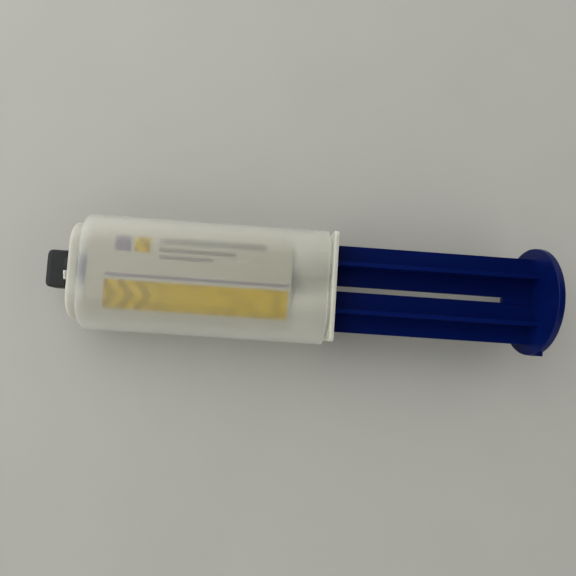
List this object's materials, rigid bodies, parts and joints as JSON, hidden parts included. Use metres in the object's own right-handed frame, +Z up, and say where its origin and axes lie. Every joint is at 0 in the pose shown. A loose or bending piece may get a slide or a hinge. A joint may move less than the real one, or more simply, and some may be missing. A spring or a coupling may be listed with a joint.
{
  "type": "two-part adhesive cartridge with hand plunger",
  "caption": "Twin-barrel adhesive cartridge in a frosted oval sleeve, with a turn-lock cap and a hand plunger whose joined rods push both pistons together.",
  "frame": {"origin": "middle of the flange's rear face, on the wall between the two bores", "axes": "+X along the tool towards the thumb disc, +Y across the two barrels, +Z up with the tool lying flat"},
  "size_m": [0.2325, 0.0542, 0.0514],
  "materials": {
    "natural_polypropylene": "translucent natural moulding, satin",
    "frosted_polypropylene": "frosted, see-through milky wall",
    "blue_polypropylene": "deep blue moulding, satin gloss",
    "white_polyethylene": "plain white moulding",
    "nitrile_rubber": "matte black seal",
    "black_polyamide": "charcoal moulding, fine matte",
    "label_film": null
  },
  "bodies": {
    "cartridge": {"twin_barrel": "natural_polypropylene", "label": "label_film", "cap_plug": "black_polyamide"},
    "sleeve": {"outer_sleeve": "frosted_polypropylene"},
    "piston_a": {"piston_a": "white_polyethylene", "piston_ring_a": "nitrile_rubber"},
    "piston_b": {"piston_b": "white_polyethylene", "piston_ring_b": "nitrile_rubber"},
    "plunger": {"plunger": "blue_polypropylene"},
    "cap": {"turn_cap": "black_polyamide"}
  },
  "joints": [
    {"name": "piston_a_stroke", "type": "slide", "parent": "cartridge", "child": "piston_a", "axis": [-1, 0, 0], "range_m": [0, 0.081]},
    {"name": "piston_b_stroke", "type": "slide", "parent": "cartridge", "child": "piston_b", "axis": [-1, 0, 0], "range_m": [0, 0.081]},
    {"name": "plunger_withdraw", "type": "slide", "parent": "piston_a", "child": "plunger", "axis": [1, 0, 0], "range_m": [0, 0.102]},
    {"name": "cap_turn", "type": "hinge", "parent": "cartridge", "child": "cap", "pos_m": [-0.1218, 0, 0], "axis": [-1, 0, 0], "range_deg": [0, 90]},
    {"name": "sleeve_slide", "type": "slide", "parent": "cartridge", "child": "sleeve", "axis": [-1, 0, 0], "range_m": [-0.0014, 0.118]}
  ],
  "couplings": [
    {"joint": "piston_b_stroke", "follows": "piston_a_stroke", "ratio": 1}
  ]
}
